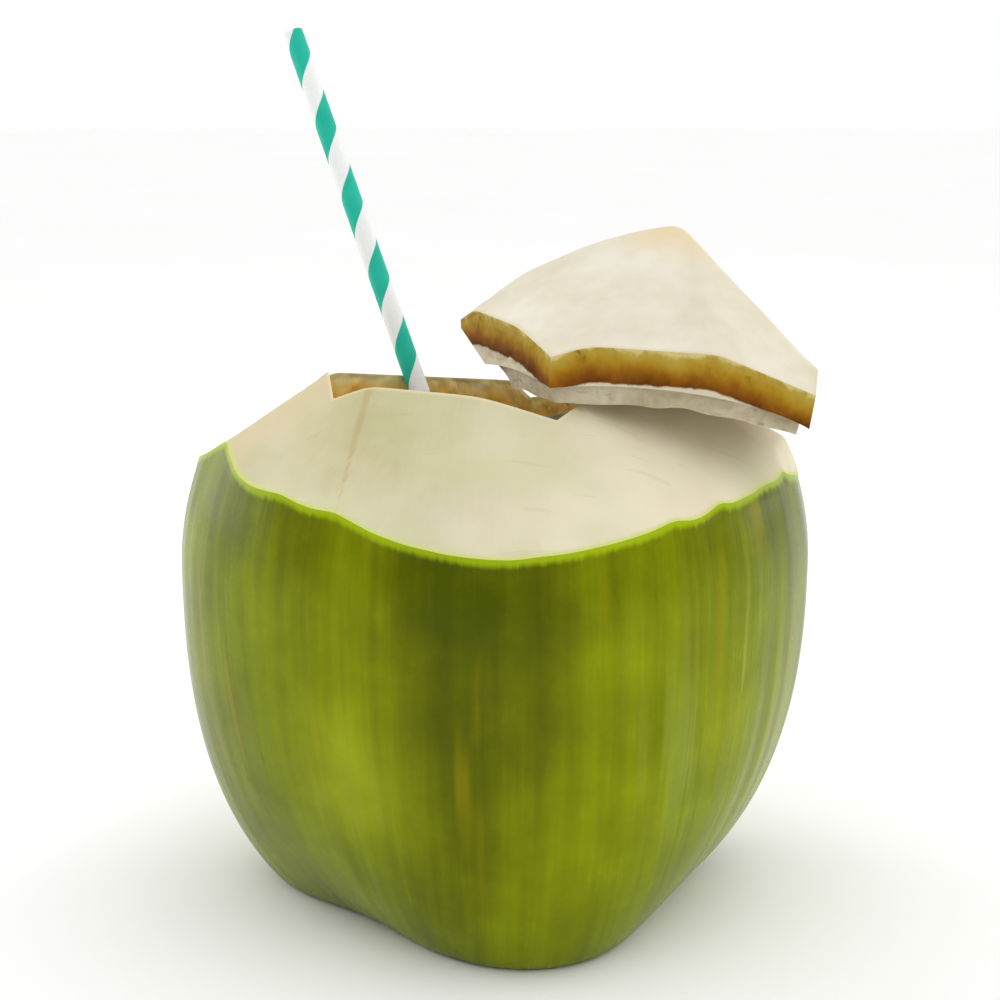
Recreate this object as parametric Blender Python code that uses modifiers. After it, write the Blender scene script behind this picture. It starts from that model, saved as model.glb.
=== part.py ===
"""A green drinking coconut: the trimmed and opened fruit, its cut-off lid and a paper straw.

Metres, +Z up. The fruit stands on the small flat spot under its three lobes. The origin is the
middle of that spot, so the fruit's upright axis is the Z axis. -Y is the front.
"""

import math

import bmesh
import bpy
from mathutils import Matrix, Vector

# The uncut fruit: a full, slightly flattened egg with three ridges that end in lobes below.
GIRTH_RADIUS = 0.0916
GIRTH_HEIGHT = 0.0958
LOWER_DEPTH = 0.1179
UPPER_HEIGHT = 0.0945
LOWER_FULLNESS = (2.58, 2.50)
UPPER_FULLNESS = (1.92, 1.89)
# Each ridge: azimuth in degrees, and how far it stands out.
RIDGES = ((-81.7, 1.35), (168.4, 1.13), (30.0, 0.975))
RIDGE_TIGHTNESS = 5.3
GROOVE_AT_GIRTH = 0.044
GROOVE_AT_BASE = 0.56
GROOVE_SPREAD = 0.83

# Flat knife cuts trim the crown to a blunt cone. Each cut: the azimuth that it faces and its
# slope, in degrees, and its height at CUT_REACH from the axis.
CUT_REACH = 0.047
CROWN_CUTS = (
    (-131.0, 41.4, 0.1567),
    (-99.5, 37.5, 0.1498),
    (-78.0, 34.0, 0.1484),
    (-44.0, 31.9, 0.1479),
    (-8.0, 60.0, 0.1878),
    (-2.0, 27.5, 0.1487),
    (59.0, 46.1, 0.1373),
    (116.0, 48.5, 0.1352),
    (170.0, 35.3, 0.1510),
)

# The mouth: five straight strokes that lean inwards as they go down, through these corners.
MOUTH_LEVEL = 0.147
MOUTH_CORNERS = (
    (-0.0445, -0.0354),
    (0.0150, -0.0500),
    (0.0625, 0.0025),
    (0.0095, 0.0520),
    (-0.0509, 0.0137),
)
STROKE_LEAN = 5.3
MOUTH_ROOT = 0.116
ABOVE_ALL = 0.25

# The hollow that holds the water, lined with white flesh.
HOLLOW_HEIGHT = 0.106
HOLLOW_RADIUS = 0.056
HOLLOW_HALF_DEPTH = 0.038
HOLLOW_FULLNESS = 2.5

# The lid is the plug that the strokes freed. Each dome below it is a radius, a rise and the
# height of its edge: the nut's top, and the flesh that lines it and stands back from its edge.
KERF = 0.0004
NUT_DOME = (0.064, 0.0180, 0.1262)
FLESH_DOME = (0.064, 0.0160, 0.1215)
FLESH_SETBACK = 0.0025
FLESH_ROOT = 0.003
# One corner came away thin: the azimuth and slope of the break, and its height at the corner.
THIN_CORNER = (-142.0, 36.0, 0.1465)

# The lid lies turned about its front corner, over the right of the mouth.
LID_PIVOT = (0.013, -0.048, 0.134)
LID_PLACE = (0.0123, -0.0475, 0.15035)
LID_TURN = -52.7
LID_TIP_RIGHT = 4.6
LID_TIP_FORWARD = -2.4

# A standard paper straw that stands on the hollow's floor and leans on the mouth's far edge.
STRAW_LENGTH = 0.197
STRAW_RADIUS = 0.003
STRAW_WALL = 0.0004
STRAW_SIDES = 24
STRAW_FOOT = (0.0031, -0.0011, 0.0698)
STRAW_LEAN = (-0.3316, 0.3090, 0.8910)

FRUIT_SEGMENTS = 96
FRUIT_RINGS = 56


def material(name, colour, roughness):
    made = bpy.data.materials.new(name)
    made.use_nodes = True
    shader = made.node_tree.nodes["Principled BSDF"]
    shader.inputs["Base Color"].default_value = (*colour, 1.0)
    shader.inputs["Roughness"].default_value = roughness
    shader.inputs["Metallic"].default_value = 0.0
    return made


def add_object(name, mesh_source, collection, finish=None):
    """Turns a bmesh into an object in the collection."""
    mesh = bpy.data.meshes.new(name)
    mesh_source.to_mesh(mesh)
    mesh_source.free()
    made = bpy.data.objects.new(name, mesh)
    collection.objects.link(made)
    if finish:
        mesh.materials.append(finish)
    return made


def add_cutter(name, mesh_source, collection):
    made = add_object(name, mesh_source, collection)
    made.hide_render = True
    made.display_type = "WIRE"
    return made


def cut(target, operation, tool):
    modifier = target.modifiers.new(operation.lower() + "_" + tool.name, "BOOLEAN")
    modifier.operation = operation
    modifier.solver = "EXACT"
    modifier.object = tool


def signed_power(value, exponent):
    return math.copysign(abs(value) ** exponent, value)


def ridge_height(azimuth):
    """1 on a full ridge, near 0 in the groove between two ridges."""
    return sum(
        stand * math.exp(RIDGE_TIGHTNESS * (math.cos(azimuth - math.radians(ridge)) - 1))
        for ridge, stand in RIDGES
    )


def skin_point(azimuth, rise):
    """The skin at an azimuth; rise runs from 0 at the lower pole to pi at the upper one."""
    lower = math.cos(rise) > 0
    across, along = LOWER_FULLNESS if lower else UPPER_FULLNESS
    depth = LOWER_DEPTH if lower else UPPER_HEIGHT
    groove = GROOVE_AT_GIRTH
    groove += (GROOVE_AT_BASE - GROOVE_AT_GIRTH) * math.exp(-((rise / GROOVE_SPREAD) ** 2))
    radius = GIRTH_RADIUS * abs(math.sin(rise)) ** (2 / across)
    radius *= 1 - groove * (1 - ridge_height(azimuth))
    height = GIRTH_HEIGHT - depth * signed_power(math.cos(rise), 2 / along)
    return Vector((radius * math.cos(azimuth), radius * math.sin(azimuth), height))


def whole_fruit():
    """A UV sphere whose points are moved out to the skin."""
    ball = bmesh.new()
    bmesh.ops.create_uvsphere(ball, u_segments=FRUIT_SEGMENTS, v_segments=FRUIT_RINGS, radius=1.0)
    for vertex in ball.verts:
        x, y, z = vertex.co
        rise = math.acos(max(-1.0, min(1.0, -z)))
        vertex.co = skin_point(math.atan2(y, x), rise)
    return ball


def hollow_solid():
    """A UV sphere squared up a little, the shape of the nut's inside."""
    ball = bmesh.new()
    bmesh.ops.create_uvsphere(ball, u_segments=48, v_segments=28, radius=1.0)
    for vertex in ball.verts:
        flat = math.hypot(vertex.co.x, vertex.co.y)
        spread = HOLLOW_RADIUS * flat ** (2 / HOLLOW_FULLNESS) / max(flat, 1e-9)
        vertex.co.x *= spread
        vertex.co.y *= spread
        vertex.co.z = HOLLOW_HEIGHT + HOLLOW_HALF_DEPTH * signed_power(vertex.co.z, 2 / HOLLOW_FULLNESS)
    return ball


def block(low, high):
    """A square block 0.4 m wide between two heights."""
    made = bmesh.new()
    bmesh.ops.create_cube(made, size=1.0)
    bmesh.ops.scale(made, vec=(0.4, 0.4, high - low), verts=made.verts)
    bmesh.ops.translate(made, vec=(0, 0, (low + high) / 2), verts=made.verts)
    return made


def slice_off(solid, point, normal):
    """Removes what lies beyond the plane and closes the solid again."""
    everything = solid.verts[:] + solid.edges[:] + solid.faces[:]
    done = bmesh.ops.bisect_plane(
        solid, geom=everything, plane_co=point, plane_no=normal, clear_outer=True, dist=1e-7
    )
    rim = [item for item in done["geom_cut"] if isinstance(item, bmesh.types.BMEdge)]
    if rim:
        bmesh.ops.contextual_create(solid, geom=rim)


def trimming_block(cuts, low):
    """A block under every knife cut: what it shares with the fruit is the trimmed fruit."""
    solid = block(low, ABOVE_ALL)
    for azimuth, slope, height in cuts:
        facing = Vector((math.cos(math.radians(azimuth)), math.sin(math.radians(azimuth)), 0))
        normal = facing * math.sin(math.radians(slope)) + Vector((0, 0, math.cos(math.radians(slope))))
        slice_off(solid, facing * CUT_REACH + Vector((0, 0, height)), normal)
    return solid


def plug_block(inset):
    """The five-sided plug between the strokes, drawn in by the inset."""
    solid = block(MOUTH_ROOT, ABOVE_ALL)
    lean = math.radians(STROKE_LEAN)
    for start, end in zip(MOUTH_CORNERS, MOUTH_CORNERS[1:] + MOUTH_CORNERS[:1]):
        along = Vector((end[0] - start[0], end[1] - start[1], 0)).normalized()
        outward = Vector((along.y, -along.x, 0))
        normal = outward * math.cos(lean) - Vector((0, 0, math.sin(lean)))
        slice_off(solid, Vector((*start, MOUTH_LEVEL)) - normal * inset, normal)
    return solid


def lid_block(inset):
    """The plug with its thin corner, drawn in by the inset."""
    solid = plug_block(inset)
    azimuth, slope, height = THIN_CORNER
    facing = Vector((math.cos(math.radians(azimuth)), math.sin(math.radians(azimuth)), 0))
    normal = facing * math.sin(math.radians(slope)) - Vector((0, 0, math.cos(math.radians(slope))))
    slice_off(solid, Vector((*MOUTH_CORNERS[0], height)) - normal * inset, normal)
    return solid


def dome_solid(radius, rise, height):
    """A ball with a flattened top half, which is an underside of the lid, and a deep lower half."""
    ball = bmesh.new()
    bmesh.ops.create_uvsphere(ball, u_segments=64, v_segments=32, radius=1.0)
    for vertex in ball.verts:
        vertex.co.x *= radius
        vertex.co.y *= radius
        vertex.co.z *= rise if vertex.co.z > 0 else radius
        vertex.co.z += height
    return ball


def shade(made, angle):
    made.data.shade_smooth()
    made.data.set_sharp_from_angle(angle=math.radians(angle))


def make_fruit(collection, cutters):
    finish = material("green_skin", (0.17, 0.22, 0.01), 0.4)
    fruit = add_object("coconut", whole_fruit(), collection, finish)
    shade(fruit, 30)
    trim = trimming_block(CROWN_CUTS, 0.0)
    cut(fruit, "INTERSECT", add_cutter("crown_trim", trim, cutters))
    cut(fruit, "DIFFERENCE", add_cutter("mouth_plug", plug_block(0.0), cutters))
    cut(fruit, "DIFFERENCE", add_cutter("hollow", hollow_solid(), cutters))
    return fruit


def lid_pose():
    """Turns the lid about the upright line through its front corner, then tips it and sets it down."""
    turn = Matrix.Rotation(math.radians(LID_TURN), 4, "Z")
    right = Matrix.Rotation(math.radians(LID_TIP_RIGHT), 4, "Y")
    forward = Matrix.Rotation(math.radians(LID_TIP_FORWARD), 4, "X")
    back = Matrix.Translation(-Vector(LID_PIVOT))
    return Matrix.Translation(Vector(LID_PLACE)) @ right @ forward @ turn @ back


def make_lid(collection, cutters):
    finish = material("cut_husk", (0.72, 0.66, 0.45), 0.6)
    radius, rise, height = NUT_DOME
    flesh = add_cutter("lid_flesh", lid_block(KERF + FLESH_SETBACK), cutters)
    root = add_cutter("flesh_root", dome_solid(radius, rise, height + FLESH_ROOT), cutters)
    cut(flesh, "INTERSECT", root)
    cut(flesh, "DIFFERENCE", add_cutter("flesh_dome", dome_solid(*FLESH_DOME), cutters))
    lid = add_object("lid", lid_block(KERF), collection, finish)
    cut(lid, "INTERSECT", add_cutter("lid_trim", trimming_block(CROWN_CUTS, 0.0), cutters))
    cut(lid, "DIFFERENCE", add_cutter("nut_dome", dome_solid(*NUT_DOME), cutters))
    cut(lid, "UNION", flesh)
    pose = lid_pose()
    lid.matrix_world = pose
    for name in ("lid_flesh", "flesh_root", "flesh_dome", "lid_trim", "nut_dome"):
        cutters.objects[name].matrix_world = pose
    shade(lid, 30)
    return lid


def make_straw(collection):
    finish = material("striped_paper", (0.02, 0.42, 0.30), 0.6)
    tube = bmesh.new()
    bmesh.ops.create_cone(
        tube,
        cap_ends=False,
        segments=STRAW_SIDES,
        radius1=STRAW_RADIUS,
        radius2=STRAW_RADIUS,
        depth=STRAW_LENGTH,
    )
    bmesh.ops.translate(tube, vec=(0, 0, STRAW_LENGTH / 2), verts=tube.verts)
    straw = add_object("straw", tube, collection, finish)
    wall = straw.modifiers.new("paper_wall", "SOLIDIFY")
    wall.thickness = STRAW_WALL
    wall.offset = -1.0
    straw.location = STRAW_FOOT
    straw.rotation_euler = Vector(STRAW_LEAN).to_track_quat("Z", "Y").to_euler()
    shade(straw, 40)
    return straw


def main():
    for old in list(bpy.data.objects):
        bpy.data.objects.remove(old)
    parts = bpy.data.collections.new("green_coconut")
    cutters = bpy.data.collections.new("cutters")
    bpy.context.scene.collection.children.link(parts)
    bpy.context.scene.collection.children.link(cutters)
    make_fruit(parts, cutters)
    make_lid(parts, cutters)
    make_straw(parts)


main()
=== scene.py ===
"""The looks of a green drinking coconut with its cut-off lid and a striped paper straw.

Metres, +Z up, -Y is the front. Every piece is worked out from the same sizes as its CAD solid.
"""

import math

import bpy
import numpy as np
from mathutils import Matrix, Vector


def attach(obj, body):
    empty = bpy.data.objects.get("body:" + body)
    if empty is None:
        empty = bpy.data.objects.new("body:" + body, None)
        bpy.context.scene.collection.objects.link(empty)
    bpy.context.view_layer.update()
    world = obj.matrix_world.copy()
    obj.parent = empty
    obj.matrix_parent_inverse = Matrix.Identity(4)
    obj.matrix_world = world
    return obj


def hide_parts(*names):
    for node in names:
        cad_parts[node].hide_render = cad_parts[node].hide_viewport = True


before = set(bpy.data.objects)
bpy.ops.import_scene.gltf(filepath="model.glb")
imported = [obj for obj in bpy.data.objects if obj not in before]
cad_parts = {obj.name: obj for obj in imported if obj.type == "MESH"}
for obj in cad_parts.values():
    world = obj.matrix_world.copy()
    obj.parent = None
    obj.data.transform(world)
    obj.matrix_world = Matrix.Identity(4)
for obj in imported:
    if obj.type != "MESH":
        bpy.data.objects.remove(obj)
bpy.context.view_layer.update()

# The coconut: a whole young fruit, its husk trimmed to a blunt cone with nine flat knife cuts
# and opened with five straight strokes. Waxy green skin outside, pale spongy husk where it is
# cut, browned fibre inside the mouth, and a lining of wet white flesh round the hollow.

MM = 0.001
# The uncut fruit. Its girth is its widest level, and each fullness is a superellipse's power,
# across and along: over 2 is fuller than an ellipse.
GIRTH_RADIUS = 0.0916
GIRTH_HEIGHT = 0.0958
LOWER_DEPTH = 0.1179
UPPER_HEIGHT = 0.0945
LOWER_FULLNESS = (2.58, 2.50)
UPPER_FULLNESS = (1.92, 1.89)
# Each ridge: azimuth in degrees, and how far it stands out. Between them run grooves, deepest at
# the base.
RIDGES = np.array([(-81.7, 1.35), (168.4, 1.13), (30.0, 0.975)])
RIDGE_TIGHTNESS = 5.3
GROOVE_AT_GIRTH = 0.044
GROOVE_AT_BASE = 0.56
GROOVE_SPREAD = 0.83

# Each knife cut: azimuth and slope in degrees, and height at CUT_REACH from the axis.
CUT_REACH = 0.047
CROWN_CUTS = np.array([
    (-131.0, 41.4, 0.1567),
    (-99.5, 37.5, 0.1498),
    (-78.0, 34.0, 0.1484),
    (-44.0, 31.9, 0.1479),
    (-8.0, 60.0, 0.1878),
    (-2.0, 27.5, 0.1487),
    (59.0, 46.1, 0.1373),
    (116.0, 48.5, 0.1352),
    (170.0, 35.3, 0.1510),
])
CUT_RIDGE_ROUNDING = 0.0006
BLADE_WAVE = 0.10 * MM

# The mouth's corners at MOUTH_LEVEL. Its strokes lean inwards as they go down.
MOUTH_LEVEL = 0.147
MOUTH_CORNERS = np.array([
    (-0.0445, -0.0354),
    (0.0150, -0.0500),
    (0.0625, 0.0025),
    (0.0095, 0.0520),
    (-0.0509, 0.0137),
])
STROKE_LEAN = math.radians(5.3)
MOUTH_ROOT = 0.116

HOLLOW_HEIGHT = 0.106
HOLLOW_RADIUS = 0.056
HOLLOW_HALF_DEPTH = 0.038
HOLLOW_FULLNESS = 2.5

COLUMNS = 352
SKIN_ROWS = 132
CUT_ROWS = 44
WALL_ROWS = 34
HOLLOW_ROWS = 62


def ripple(around, along, seed, turns, pitch, waves=26):
    """A smooth random relief of about -1 to 1: a sum of cosines that each go a whole number of
    times round, up to the given turns, and rise or fall along by up to a wave per pitch."""
    draw = np.random.default_rng(seed)
    counts = draw.integers(-turns, turns + 1, waves)
    slants = draw.uniform(-1, 1, waves) * 2 * math.pi / pitch
    phases = draw.uniform(0, 2 * math.pi, waves)
    total = 0
    for count, slant, phase in zip(counts, slants, phases):
        total = total + np.cos(count * around + slant * along + phase)
    return total / math.sqrt(2 * waves)


def bell(offset, width):
    """1 where the offset is 0, falling away to both sides over the width."""
    return np.exp(-((offset / width) ** 2))


def ease(value, start, end):
    """0 before start, 1 after end, and an S-shaped rise between them; start may be the larger."""
    part = np.clip((value - start) / (end - start), 0, 1)
    return part * part * (3 - 2 * part)


def turned_from(azimuth, degrees):
    """The angle from a direction to an azimuth, in radians from -pi to pi."""
    return np.angle(np.exp(1j * (azimuth - math.radians(degrees))))


def ridge_height(azimuth):
    """The sum over the ridges of stand * exp(tightness * (cos(azimuth - ridge) - 1))."""
    away = azimuth[..., None] - np.radians(RIDGES[:, 0])
    return (RIDGES[:, 1] * np.exp(RIDGE_TIGHTNESS * (np.cos(away) - 1))).sum(axis=-1)


def skin_surface(azimuth, rise):
    """Radius and height of the uncut fruit: radius = girth * sin(rise) ** (2 / across), less the
    grooves, and height = middle - depth * cos(rise) ** (2 / along), signed. The rise runs from 0
    at the lower pole to pi at the upper one."""
    lower = np.cos(rise) > 0
    across = np.where(lower, LOWER_FULLNESS[0], UPPER_FULLNESS[0])
    along = np.where(lower, LOWER_FULLNESS[1], UPPER_FULLNESS[1])
    depth = np.where(lower, LOWER_DEPTH, UPPER_HEIGHT)
    groove = GROOVE_AT_GIRTH + (GROOVE_AT_BASE - GROOVE_AT_GIRTH) * bell(rise, GROOVE_SPREAD)
    radius = GIRTH_RADIUS * np.abs(np.sin(rise)) ** (2 / across)
    radius = radius * (1 - groove * (1 - ridge_height(azimuth)))
    height = GIRTH_HEIGHT - depth * np.sign(np.cos(rise)) * np.abs(np.cos(rise)) ** (2 / along)
    return radius, height


def crown_height(x, y, cuts=CROWN_CUTS):
    """The lowest of the knife cuts' planes over a point, with the ridges between two cuts rounded:
    -k * log(sum(exp(-plane / k)))."""
    facing = np.radians(cuts[:, 0])
    reach = x[..., None] * np.cos(facing) + y[..., None] * np.sin(facing) - CUT_REACH
    planes = cuts[:, 2] - np.tan(np.radians(cuts[:, 1])) * reach
    lowest = planes.min(axis=-1)
    above = planes - lowest[..., None]
    return lowest - CUT_RIDGE_ROUNDING * np.log(np.exp(-above / CUT_RIDGE_ROUNDING).sum(axis=-1))


def between_cuts(x, y):
    """How far the second lowest knife plane is above the lowest, in mm: 0 on a ridge between two."""
    facing = np.radians(CROWN_CUTS[:, 0])
    reach = x[..., None] * np.cos(facing) + y[..., None] * np.sin(facing) - CUT_REACH
    planes = np.sort(CROWN_CUTS[:, 2] - np.tan(np.radians(CROWN_CUTS[:, 1])) * reach, axis=-1)
    return (planes[..., 1] - planes[..., 0]) / MM


def knife_marks(x, y):
    """Faint waves that the blade left, across the fibres, at most about 0.2 mm high."""
    across = np.sin(x / 0.0041 + 2 * np.sin(y / 0.019))
    return BLADE_WAVE * (across + np.sin(y / 0.0067 + x / 0.013))


# The five sides of the mouth: the way each runs, the way it faces, and how fast a corner moves
# outwards when both of its sides do.
stroke_run = np.roll(MOUTH_CORNERS, -1, axis=0) - MOUTH_CORNERS
stroke_run = stroke_run / np.linalg.norm(stroke_run, axis=1, keepdims=True)
stroke_out = np.stack([stroke_run[:, 1], -stroke_run[:, 0]], axis=1)
corner_pair = np.stack([np.roll(stroke_out, 1, axis=0), stroke_out], axis=1)
corner_out = np.linalg.solve(corner_pair, np.ones((5, 2, 1)))[..., 0]


def mouth_point(side, part, level, inset=0.0):
    """A point of the mouth's wall at a level: part of the way along one of its five sides. Both
    corners of the side move in by the lean times the depth, and by the inset."""
    spread = (level - MOUTH_LEVEL) * math.tan(STROKE_LEAN) - inset / math.cos(STROKE_LEAN)
    start = MOUTH_CORNERS[side] + corner_out[side] * spread[..., None]
    end_side = (side + 1) % 5
    end = MOUTH_CORNERS[end_side] + corner_out[end_side] * spread[..., None]
    place = start + part[..., None] * (end - start)
    return place[..., 0], place[..., 1]


def mouth_columns(total):
    """The side, the part along it and the azimuth of each column of a grid round the axis, evenly
    spaced between the mouth's corners, with a column on each corner."""
    turns = np.unwrap(np.arctan2(MOUTH_CORNERS[:, 1], MOUTH_CORNERS[:, 0]))
    turns = np.append(turns, turns[0] + 2 * math.pi)
    counts = np.round(np.diff(turns) / (2 * math.pi) * total).astype(int)
    side = np.repeat(np.arange(5), counts)
    azimuth = np.concatenate([
        np.linspace(start, end, count, endpoint=False)
        for start, end, count in zip(turns[:-1], turns[1:], counts)
    ])
    start = MOUTH_CORNERS[side]
    run = MOUTH_CORNERS[(side + 1) % 5] - start
    part = -(start[:, 0] * np.sin(azimuth) - start[:, 1] * np.cos(azimuth))
    part = part / (run[:, 0] * np.sin(azimuth) - run[:, 1] * np.cos(azimuth))
    corners = np.concatenate([[0], np.cumsum(counts)[:-1]])
    return side, part, azimuth, corners


def closed_grid(name, grid, poles, zones, sharp_rows, sharp_columns, column_rows):
    """A closed skin from rows of points that each go once round: a quad between neighbours and a
    fan at each pole. The zones give each row of faces its material. Sharp rows are crisp edges,
    and so are sharp columns between the two column rows."""
    low_pole, high_pole = poles
    rows, columns = grid.shape[:2]
    points = np.vstack([[low_pole], grid.reshape(-1, 3), [high_pole]])
    index = 1 + np.arange(rows * columns).reshape(rows, columns)
    right = np.roll(index, -1, axis=1)
    quads = np.stack([index[:-1], right[:-1], right[1:], index[1:]], axis=-1).reshape(-1, 4)
    low = np.zeros(columns, int)
    high = low + rows * columns + 1
    low_fan = np.stack([low, right[0], index[0]], axis=-1)
    high_fan = np.stack([index[-1], right[-1], high], axis=-1)
    mesh = bpy.data.meshes.new(name)
    mesh.from_pydata(points, [], low_fan.tolist() + quads.tolist() + high_fan.tolist())
    of_face = np.concatenate([
        np.full(columns, zones[0]),
        np.repeat(np.array(zones), columns),
        np.full(columns, zones[-1]),
    ])
    mesh.polygons.foreach_set("material_index", of_face.astype(np.int32))
    mesh.shade_smooth()
    ends = np.empty(len(mesh.edges) * 2, np.int32)
    mesh.edges.foreach_get("vertices", ends)
    ends = ends.reshape(-1, 2) - 1
    row, column = ends // columns, ends % columns
    crisp = (row[:, 0] == row[:, 1]) & np.isin(row[:, 0], sharp_rows)
    upright = (column[:, 0] == column[:, 1]) & np.isin(column[:, 0], sharp_columns)
    within = (row.min(axis=1) >= column_rows[0]) & (row.max(axis=1) <= column_rows[1])
    crisp |= upright & within
    mesh.attributes.new("sharp_edge", "BOOLEAN", "EDGE").data.foreach_set("value", crisp)
    made = bpy.data.objects.new(name, mesh)
    bpy.context.scene.collection.objects.link(made)
    return made


def note(made, name, values, low_value, high_value):
    """Keeps a number or a vector for every point of a closed grid, for its materials to read."""
    values = np.asarray(values, float)
    if values.ndim == 3:
        flat = np.vstack([[low_value], values.reshape(-1, 3), [high_value]])
        kept = made.data.attributes.new(name, "FLOAT_VECTOR", "POINT")
        kept.data.foreach_set("vector", flat.ravel())
        return
    flat = np.concatenate([[low_value], values.ravel(), [high_value]])
    made.data.attributes.new(name, "FLOAT", "POINT").data.foreach_set("value", flat)


def lengths_along(grid):
    """How far each point of a grid is from its row 0, along its own column."""
    steps = np.linalg.norm(np.diff(grid, axis=0), axis=2)
    return np.vstack([np.zeros((1, grid.shape[1])), np.cumsum(steps, axis=0)])


side, part, azimuth, corner_columns = mouth_columns(COLUMNS)
cosine, sine = np.cos(azimuth), np.sin(azimuth)

# The edge between skin and cut isn't quite straight. It wanders, and each row of EDGE_STEPS lifts
# it round an azimuth: azimuth and spread in degrees, and the lift in mm.
EDGE_STEPS = (
    (-134.0, 8.0, 1.8),
    (-84.0, 10.0, -1.6),
    (-62.0, 12.0, -1.1),
    (-55.0, 3.5, -0.8),
    (-47.5, 3.0, 0.9),
    (-22.0, 7.0, -2.2),
    (176.0, 20.0, 2.2),
)
EDGE_WAVES = 0.20 * MM
EDGE_NIBBLES = 0.06 * MM
EDGE_FADE = 0.006
edge_wander = EDGE_WAVES * ripple(azimuth, 0.0, 11, 13, 1.0)
edge_wander = edge_wander + EDGE_NIBBLES * ripple(azimuth, 0.0, 12, 60, 1.0)
for step_azimuth, step_spread, step_lift in EDGE_STEPS:
    away = turned_from(azimuth, step_azimuth)
    edge_wander = edge_wander + step_lift * MM * bell(away, math.radians(step_spread))


def cut_surface(x, y, from_edge):
    """The trimmed crown: the knife cuts, plus the wandering that dies out from the edge inwards."""
    return crown_height(x, y) + edge_wander * np.exp(-from_edge / EDGE_FADE)


# Where the skin meets the crown, by halving the range of the rise. The back cuts reach a little
# below the girth, where the rise is pi / 2.
LOWEST_EDGE_RISE = 1.15
HIGHEST_EDGE_RISE = math.pi - 0.05
below = np.full(azimuth.shape, LOWEST_EDGE_RISE)
above = np.full(azimuth.shape, HIGHEST_EDGE_RISE)
for _ in range(40):
    middle = (below + above) / 2
    radius, height = skin_surface(azimuth, middle)
    under = height < cut_surface(radius * cosine, radius * sine, 0.0)
    below, above = np.where(under, middle, below), np.where(under, above, middle)
edge_rise = below

# The skin isn't even: low ribs run up it, stronger on the right, over broad swells, all in mm. It
# only sinks in from the fruit's own shape. The foot is hollowed a little, round a stem scar with a
# low lip. A radian of rise takes roughly SKIN_PER_RISE metres of skin.
SKIN_CLEARANCE = 0.03 * MM
SKIN_PER_RISE = 0.09
SKIN_CROWDING = 1.12
RIB_DEPTH = 0.12
RIGHT_RIB_DEPTH = 0.16
SWELL_DEPTH = 0.25
FOOT_ROUNDING = 0.0012
FOOT_CLEARANCE = 0.02 * MM
FOOT_DISH = (1.8 * MM, 0.012)
SCAR_RADIUS = 0.0065
SCAR_DEPTH = 0.9 * MM
SCAR_LIP = (0.7 * MM, 0.0012)

share = np.linspace(0, 1, SKIN_ROWS + 1)[1:, None]
rise = edge_rise * (1 - (1 - share) ** SKIN_CROWDING)
radius, height = skin_surface(azimuth, rise)
to_edge = np.clip((edge_rise - rise) * SKIN_PER_RISE, 0, None)
quiet = ease(to_edge, 0, 0.004) * ease(rise, 0.05, 0.5)
right_side = bell(turned_from(azimuth, -22), 0.55)
ribs = ripple(azimuth, height, 5, 60, 0.30)
swells = ripple(azimuth, height, 6, 9, 0.12)
relief = (RIB_DEPTH + RIGHT_RIB_DEPTH * right_side) * (1.2 + ribs) + SWELL_DEPTH * (1.2 + swells)
radius = radius - SKIN_CLEARANCE - quiet * MM * relief
floor = FOOT_DISH[0] * bell(radius, FOOT_DISH[1]) - SCAR_DEPTH * bell(radius, SCAR_RADIUS * 0.75)
floor = floor + SCAR_LIP[0] * bell(radius - SCAR_RADIUS, SCAR_LIP[1])
height = floor + FOOT_ROUNDING * np.logaddexp(0, (height - floor) / FOOT_ROUNDING)
height = np.maximum(height - FOOT_CLEARANCE, 0)
skin_grid = np.stack([radius * cosine, radius * sine, height], axis=-1)
skin_grid[-1, :, 2] = cut_surface(skin_grid[-1, :, 0], skin_grid[-1, :, 1], 0.0)

# The cut face runs from the skin's edge to the mouth's edge, with its rows closer at both.
CUT_CROWDING = 0.06
mouth_level = np.full(azimuth.shape, MOUTH_LEVEL)
for _ in range(12):
    mouth_x, mouth_y = mouth_point(side, part, mouth_level)
    mouth_level = crown_height(mouth_x, mouth_y)

share = np.linspace(0, 1, CUT_ROWS + 1)[1:, None]
share = share - CUT_CROWDING * np.sin(2 * math.pi * share)
cut_x = skin_grid[-1, :, 0] + share * (mouth_x - skin_grid[-1, :, 0])
cut_y = skin_grid[-1, :, 1] + share * (mouth_y - skin_grid[-1, :, 1])
run = np.hypot(mouth_x - skin_grid[-1, :, 0], mouth_y - skin_grid[-1, :, 1])
settle = ease(np.minimum(share, 1 - share) * run, 0, 0.004)
cut_z = cut_surface(cut_x, cut_y, share * run)
cut_z = cut_z + settle * (knife_marks(cut_x, cut_y) - BLADE_WAVE)
cut_grid = np.stack([cut_x, cut_y, cut_z], axis=-1)


def hollow_ceiling(x, y):
    """Height of the hollow over a point: middle + depth * (1 - (r / R) ** n) ** (1 / n)."""
    reach = np.clip(np.hypot(x, y) / HOLLOW_RADIUS, 0, 1)
    return HOLLOW_HEIGHT + HOLLOW_HALF_DEPTH * (1 - reach**HOLLOW_FULLNESS) ** (1 / HOLLOW_FULLNESS)


# Torn fibre, fine and coarse: the height in mm, seed, turns, pitch and number of waves of each.
WALL_FIBRE = ((0.30, 21, 110, 0.004, 40), (0.28, 22, 50, 0.011, 30))
WALL_FOOT_GUESS = 0.135


def torn_fibre(level, layers):
    """The relief of torn fibre on a section, in mm: the sum of its layers."""
    return sum(height * ripple(azimuth, level, *layer) for height, *layer in layers)


def moved_out(x, y, relief_mm):
    """Points of a section, moved outwards by a relief that dies out at the mouth's corners."""
    out = MM * relief_mm * ease(np.minimum(part, 1 - part), 0.0, 0.03)
    return x + out * stroke_out[side, 0], y + out * stroke_out[side, 1]


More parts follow.
